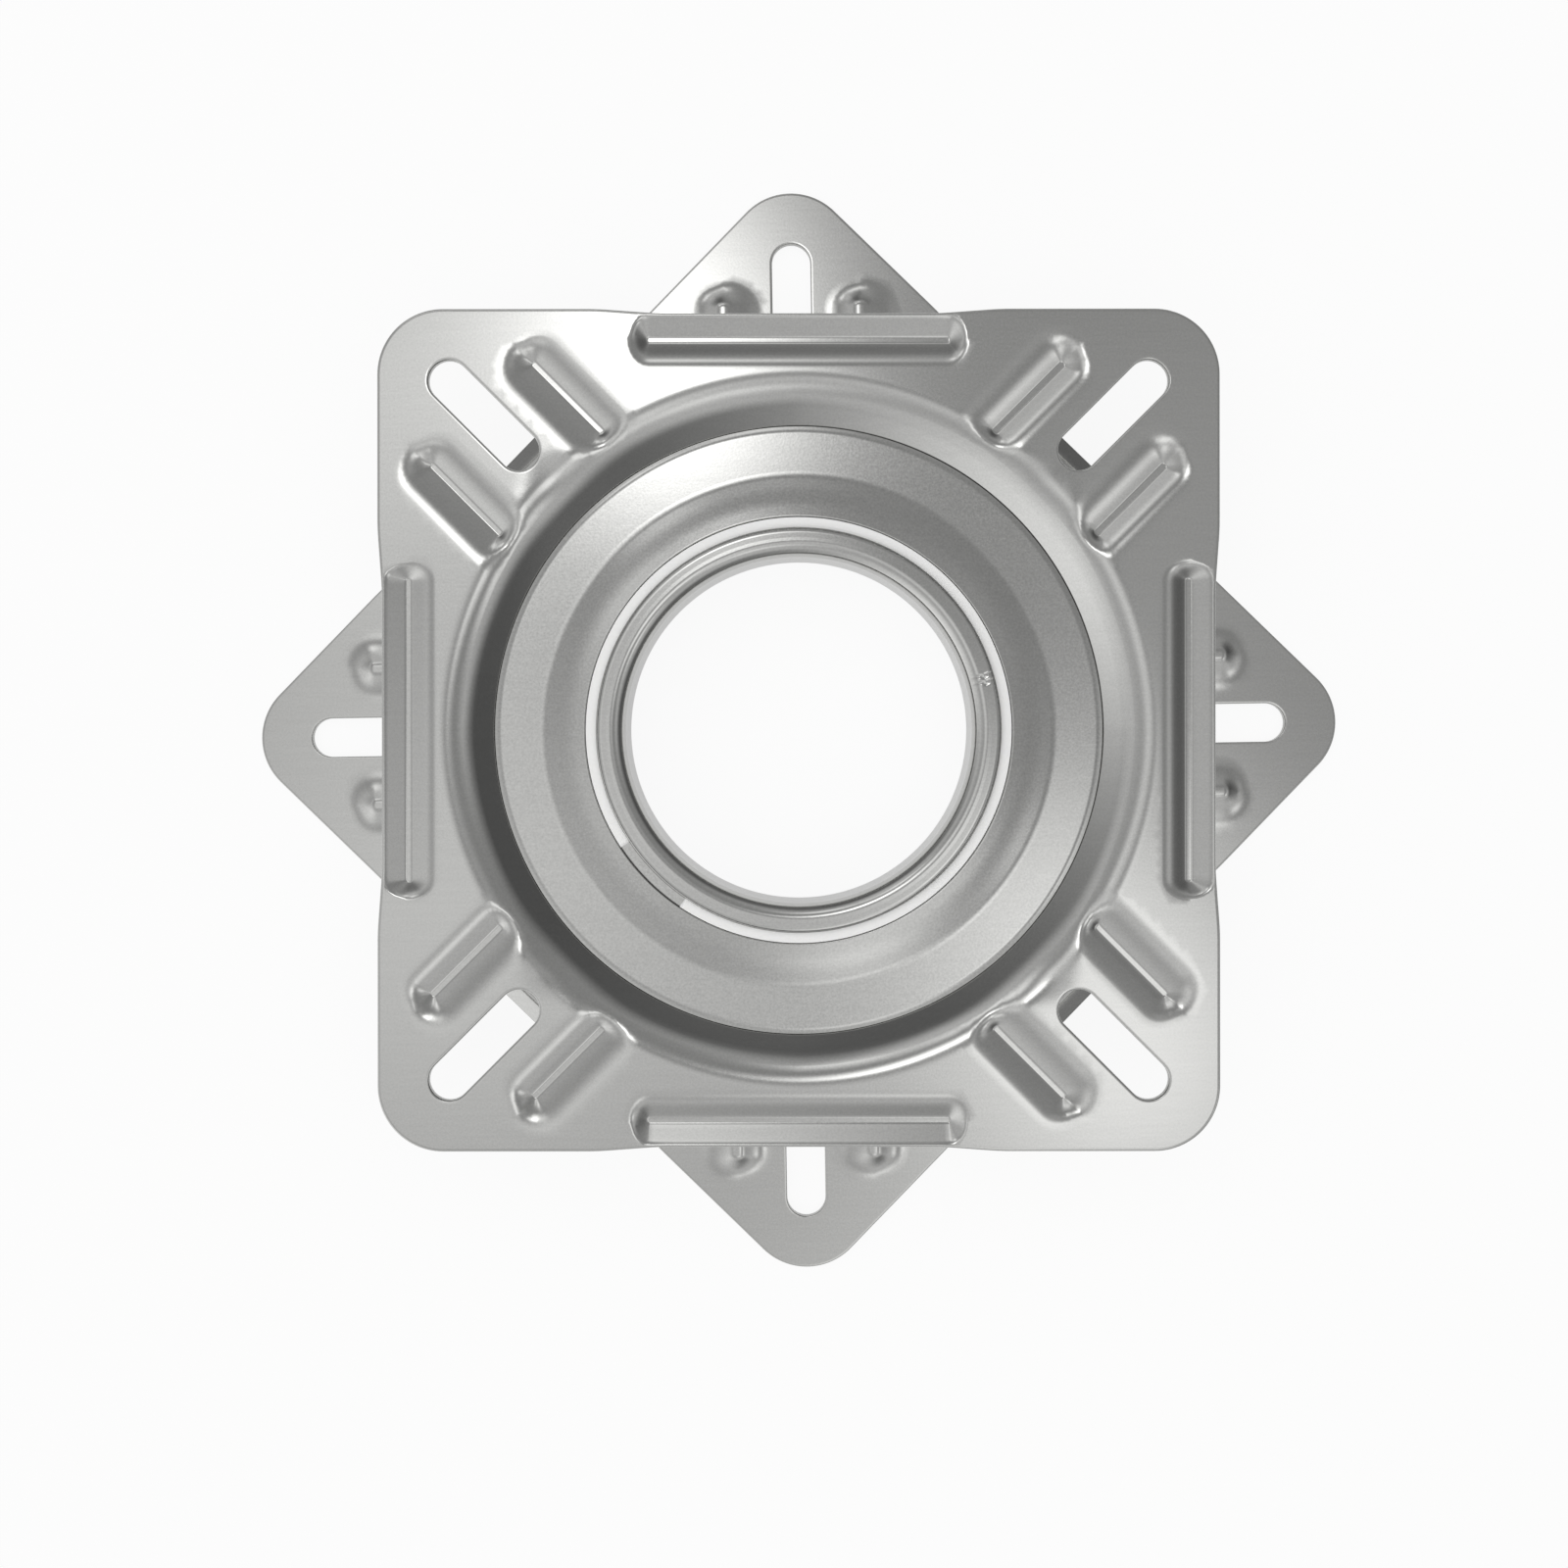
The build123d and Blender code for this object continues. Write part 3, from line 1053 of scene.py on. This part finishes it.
@dataclass
class HubSleeve:
    """Tube whose ends are rolled outwards over the liner strips, with the marks of the rolling."""

    name: str = "rolled_hub_sleeve"
    node: str = "hub_sleeve"
    body: str = "base"
    frame: HalfFrame = HalfFrame(-0.9, Facing.UP)
    bore_r: float = 37.5
    wall: float = 1.5
    flange_r: float = 43.75
    top: float = 9.62
    bend_r: float = 1.2
    roll_r: float = 3.2
    dip_r: float = 41.5
    dip: float = 0.06
    shoulder_r: float = 42.9
    edge_fall: float = 0.28
    edge_bend: float = 0.6
    shoulder_bend: float = 3.0
    dip_bend: float = 6.0
    hidden_edge_bend: float = 0.5
    creases: tuple[float, ...] = (16.6, 14.6)
    crease_depth: float = 0.09
    crease_width: float = 0.28
    crease_lead: float = 1.2
    crease_fade: float = 0.8
    kink: float = 0.6
    kink_r: float = 41.4
    kink_width: float = 0.5
    around: int = 540
    seam_margin: float = 2.0
    seam_points: int = 121

    def section(self) -> np.ndarray:
        """Closed section of the sleeve, its flanges falling slightly towards their edges."""
        outer = self.bore_r + self.wall
        under = self.top - self.wall
        upper = np.array(
            [
                (self.flange_r, self.top - self.edge_fall, self.edge_bend),
                (self.shoulder_r, self.top - self.dip, self.shoulder_bend),
                (self.dip_r, self.top - self.dip, self.dip_bend),
                (self.bore_r, self.top, self.roll_r),
            ]
        )
        hidden = np.array(
            [
                (self.flange_r, -under, self.hidden_edge_bend),
                (outer, -under, self.bend_r),
                (outer, under, self.bend_r),
                (self.flange_r, under, self.hidden_edge_bend),
            ]
        )
        corners = np.concatenate([upper, upper[::-1] * np.array([1, -1, 1]), hidden])
        return rounded_loop(corners[:, :2], corners[:, 2], 9)

    def creased(self, points: np.ndarray) -> np.ndarray:
        """Presses two short radial creases into the upper roll, where the seam of the tube lies.

        At an arc distance s from a crease it is depth x exp(-(s / width) squared) deep, and its
        line is kinked sideways by kink x exp(-((r - kink radius) / kink width) squared).
        """
        x, y, height = np.moveaxis(points, -1, 0)
        radius = np.hypot(x, y)
        aside = self.kink * np.exp(-(((radius - self.kink_r) / self.kink_width) ** 2))
        inner, outer = radius - self.bore_r, self.flange_r - radius
        share = np.clip(inner - self.crease_lead, 0, 1) * np.clip(outer / self.crease_fade, 0, 1)
        share = share * (height > 0)
        for azimuth in self.creases:
            across = radius * (np.arctan2(y, x) - np.radians(azimuth)) + aside
            height = height - self.crease_depth * share * np.exp(-((across / self.crease_width) ** 2))
        return np.stack([x, y, height], axis=-1)

    def build(self, material: bpy.types.Material) -> bpy.types.Object:
        """Builds the sleeve and puts it in place of its node."""
        section = self.section()
        first, last = min(self.creases) - self.seam_margin, max(self.creases) + self.seam_margin
        seam = np.radians(np.linspace(first, last, self.seam_points))
        angles = np.unique(np.concatenate([whole_turn(self.around), seam]))
        grid = self.creased(spin(section, angles))
        shell = Shell()
        shell.add(grid, grid_faces(len(angles), len(section), True, True))
        return settle(shell.build(self.name, self.frame, material), self.node, self.body)


@dataclass
class LinerStrip:
    """Split strip of L section that lines the step of a ring under the rolled flange."""

    name: str
    node: str
    facing: Facing
    gap_middle: float
    body: str = "base"
    inner_r: float = 39.15
    leg_r: float = 40.25
    outer_r: float = 46.0
    foot: float = 5.52
    underside: float = 7.32
    top: float = 8.12
    arris: float = 0.12
    leg_arris: float = 0.15
    inner_bend: float = 0.1
    roll_bend: float = 1.1
    gap: float = 22.5
    around: int = 320

    def build(self, material: bpy.types.Material) -> bpy.types.Object:
        """Builds the strip, its section turned about the axis from one end to the other."""
        frame = HalfFrame(self.gap_middle + self.facing.value * self.gap / 2, self.facing)
        corners = np.array(
            [
                (self.inner_r, self.foot, self.leg_arris),
                (self.leg_r, self.foot, self.leg_arris),
                (self.leg_r, self.underside, self.inner_bend),
                (self.outer_r, self.underside, self.arris),
                (self.outer_r, self.top, self.arris),
                (self.inner_r, self.top, self.roll_bend),
            ]
        )
        section = rounded_loop(corners[:, :2], corners[:, 2], 4)
        angles = np.radians(np.linspace(0, 360 - self.gap, self.around))
        shell = Shell()
        shell.add(spin(section, angles), grid_faces(self.around, len(section), False, True))
        middle = np.array([(self.leg_r, (self.underside + self.top) / 2)])
        fan = np.arange(len(section))
        for angle in (angles[0], angles[-1]):
            cap = spin(np.concatenate([section, middle]), np.array([angle]))[0]
            spokes = np.stack([fan, np.roll(fan, -1), np.full_like(fan, len(section))], axis=1)
            shell.add(cap, spokes)
        return settle(shell.build(self.name, frame, material), self.node, self.body)


@dataclass(frozen=True)
class Glow:
    """Soft patch of light in the room, placed by the direction from which it comes.

    Its radiance falls off as exp((cos angle - 1) / spread squared), which is a bell curve.
    """

    azimuth: float
    lean: float
    spread: float
    radiance: float

    def direction(self) -> tuple[float, float, float]:
        """Unit vector towards the patch: lean from the zenith, azimuth from +X."""
        azimuth, lean = np.radians([self.azimuth, self.lean])
        across = np.sin(lean)
        return float(across * np.cos(azimuth)), float(across * np.sin(azimuth)), float(np.cos(lean))

    def add(self, tree: bpy.types.NodeTree, direction: bpy.types.NodeSocket) -> bpy.types.NodeSocket:
        """Adds the nodes that give the patch's radiance in the direction that is looked in."""
        dot = {".operation": "DOT_PRODUCT", 1: self.direction()}
        facing = add_node(tree, "VectorMath", dot, {0: direction}, "Value")
        sharpness = 1 / np.radians(self.spread) ** 2
        falloff = {".operation": "MULTIPLY_ADD", 1: sharpness, 2: -sharpness}
        power = add_node(tree, "Math", falloff, {0: facing})
        bell = add_node(tree, "Math", {".operation": "EXPONENT"}, {0: power})
        return add_node(tree, "Math", {".operation": "MULTIPLY", 1: self.radiance}, {0: bell})


@dataclass
class Studio:
    """White floor, soft light from above and a camera that looks straight down."""

    floor_size: float = 12.0
    floor_drop: float = 0.00005
    floor_tone: str = "F4F4F4"
    white_tone: str = "FDFDFD"
    white_share: float = 0.93
    mirrored_share: float = 0.35
    ambient: float = 0.34
    horizon: float = 0.12
    dark_from: float = 0.62
    dark_to: float = 0.3
    fill_radiance: float = 0.62
    fill_size: float = 4.0
    fill_place: tuple[float, float, float] = (-0.4, 0.4, 1.6)
    camera_height: float = 0.408
    camera_roll: float = -0.94
    lens: float = 41.2
    sensor: float = 36.0
    near: float = 0.01
    shift: tuple[float, float] = (-0.0094, -0.0344)
    glows: tuple[Glow, ...] = (
        Glow(110.5, 10.5, 2.4, 2.0),
        Glow(108.0, 15.0, 3.4, 1.5),
        Glow(318.0, 12.0, 4.6, 0.75),
        Glow(316.0, 16.0, 3.2, 0.45),
        Glow(328.0, 8.5, 2.2, 0.35),
        Glow(285.0, 25.0, 6.5, 0.7),
        Glow(140.0, 17.0, 4.8, 0.55),
        Glow(205.0, 11.0, 8.0, 0.5),
        Glow(30.0, 14.0, 6.0, 0.12),
        Glow(45.0, 3.0, 4.0, -0.1),
        Glow(216.0, 90.0, 33.0, 1.2),
        Glow(122.0, 36.0, 4.5, 0.9),
        Glow(97.0, 41.0, 5.5, 0.8),
        Glow(118.0, 53.0, 9.0, 0.35),
        Glow(80.0, 58.0, 14.0, 0.15),
        Glow(150.0, 54.0, 10.0, 0.15),
        Glow(330.0, 37.0, 5.0, 0.7),
        Glow(325.0, 54.0, 11.0, 0.3),
        Glow(290.0, 46.0, 12.0, 0.25),
        Glow(355.0, 44.0, 8.0, 0.25),
    )

    def floor(self) -> bpy.types.Object:
        """Floor that is near white to the camera, bright in reflections, and keeps a faint shadow."""
        material, tree = new_material("white_floor")
        camera, through, glossy = (
            add_node(tree, "LightPath", output=f"Is {kind} Ray")
            for kind in ("Camera", "Transmission", "Glossy")
        )
        seen = add_node(tree, "Math", {".operation": "ADD"}, {0: camera, 1: through})
        direct = add_node(tree, "Math", {".operation": "MULTIPLY", 1: self.white_share}, {0: seen})
        mirrored = {".operation": "MULTIPLY_ADD", 1: self.mirrored_share}
        share = add_node(tree, "Math", mirrored, {0: glossy, 2: direct})
        matt = add_node(tree, "BsdfDiffuse", {"Color": linear(self.floor_tone)})
        white = add_node(tree, "Emission", {"Color": linear(self.white_tone), "Strength": 1.0})
        mixed = add_node(tree, "MixShader", {}, {0: share, 1: matt, 2: white})
        add_node(tree, "OutputMaterial", {}, {"Surface": mixed})
        half = self.floor_size / 2
        corners = np.array([(-half, -half, 0), (half, -half, 0), (half, half, 0), (-half, half, 0)])
        mesh = bpy.data.meshes.new("floor")
        mesh.from_pydata(corners.tolist(), [], [[0, 1, 2, 3]])
        mesh.materials.append(material)
        floor = bpy.data.objects.new("floor", mesh)
        floor.location.z = -self.floor_drop
        bpy.context.scene.collection.objects.link(floor)
        return floor

    def world(self) -> None:
        """Grey room that darkens towards the horizon, with its patches of light, white to the camera."""
        world = bpy.data.worlds.new("room")
        bpy.context.scene.world = world
        world.use_nodes = True
        tree = world.node_tree
        tree.nodes.clear()
        direction = add_node(tree, "TexCoord", output="Generated")
        height = add_node(tree, "SeparateXYZ", {}, {0: direction}, 2)
        span = {"From Min": self.dark_from, "From Max": self.dark_to}
        low = add_node(tree, "MapRange", span, {"Value": height})
        tones = {"To Min": self.ambient, "To Max": self.horizon}
        room = add_node(tree, "MapRange", tones, {"Value": low})
        for glow in self.glows:
            patch = glow.add(tree, direction)
            room = add_node(tree, "Math", {".operation": "ADD"}, {0: room, 1: patch})
        camera = add_node(tree, "LightPath", output="Is Camera Ray")
        tone = add_node(tree, "Mix", {".data_type": "FLOAT", 3: 1.0}, {0: camera, 2: room})
        background = add_node(tree, "Background", {"Strength": 1.0}, {"Color": tone})
        add_node(tree, "OutputWorld", {}, {"Surface": background})

    def fill(self) -> bpy.types.Object:
        """Lamp overhead, of power radiance x pi x area, that lights matt surfaces and isn't mirrored."""
        light = bpy.data.lights.new("fill", "AREA")
        light.shape = "DISK"
        light.size = self.fill_size
        light.energy = self.fill_radiance * np.pi * (np.pi * light.size**2 / 4)
        lamp = bpy.data.objects.new("fill", light)
        lamp.location = self.fill_place
        lamp.visible_camera = False
        lamp.visible_glossy = False
        bpy.context.scene.collection.objects.link(lamp)
        return lamp

    def camera(self) -> bpy.types.Object:
        """Camera straight above the axis, shifted as the photograph is framed."""
        data = bpy.data.cameras.new("camera")
        data.lens = self.lens
        data.sensor_width = self.sensor
        data.shift_x, data.shift_y = self.shift
        data.clip_start = self.near
        data.dof.use_dof = False
        camera = bpy.data.objects.new("camera", data)
        camera.location = (0.0, 0.0, self.camera_height)
        camera.rotation_euler = (0.0, 0.0, np.radians(self.camera_roll))
        bpy.context.scene.collection.objects.link(camera)
        bpy.context.scene.camera = camera
        return camera

    def build(self) -> None:
        """Sets up the floor, the room, the lamp and the camera."""
        bpy.context.scene.view_settings.view_transform = "Standard"
        self.floor()
        self.world()
        self.fill()
        self.camera()
        log.info("studio: %d patches of light in the room", len(self.glows))


@dataclass
class Bearing:
    """Cage and balls between the dishes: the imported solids, given their finishes."""

    cage: str = "ball_cage"
    ball_prefix: str = "ball_"

    def build(
        self, nodes: dict[str, bpy.types.Object], nylon: bpy.types.Material, steel: bpy.types.Material
    ) -> None:
        """Gives the cage its nylon and every ball its steel, in the frame's nodes by name."""
        parts = [name for name in nodes if name.startswith(self.ball_prefix)]
        for name in parts:
            nodes[name].material_slots[0].material = nylon if name == self.cage else steel
        log.info("bearing: %d nodes", len(parts))


def main() -> None:
    """Loads the frame, builds every piece on it and sets up the studio."""
    logging.basicConfig(level=logging.INFO, format="%(name)s %(message)s")
    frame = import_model()
    upper = HalfFrame(-0.9, Facing.UP)
    lower = HalfFrame(45.0, Facing.DOWN)
    plate = PressedMetal("plate_sheet_steel", streak_turn=-0.9).material()
    lower_plate = PressedMetal("lower_plate_sheet_steel", streak_turn=45.0).material()
    ring = PressedMetal(
        "ring_sheet_steel", roughness=0.12, grain_height_mm=0.003, grain_share=0.07
    ).material()
    sleeve = PressedMetal("rolled_tube_steel").material()
    nylon = MouldedNylon("liner_nylon").material()
    cage = MouldedNylon("cage_nylon", tone="E4E2DA").material()
    balls = PressedMetal(
        "bearing_ball_steel", tone="D8D8D8", roughness=0.08, roughness_swing=0.02
    ).material()
    PressedPlate("upper_pressed_plate", "upper_plate", "top", upper).build(plate)
    PressedPlate("lower_pressed_plate", "lower_plate", "base", lower).build(lower_plate)
    RetainingRing("upper_pressed_ring", "upper_retaining_ring", "top", upper).build(ring)
    RetainingRing("lower_pressed_ring", "lower_retaining_ring", "base", lower).build(ring)
    HubSleeve().build(sleeve)
    LinerStrip("upper_split_liner", "upper_liner_strip", Facing.UP, gap_middle=223.8).build(nylon)
    LinerStrip("lower_split_liner", "lower_liner_strip", Facing.DOWN, gap_middle=40.0).build(nylon)
    Bearing().build(frame["nodes"], cage, balls)
    Studio().build()


if __name__ == "__main__":
    main()
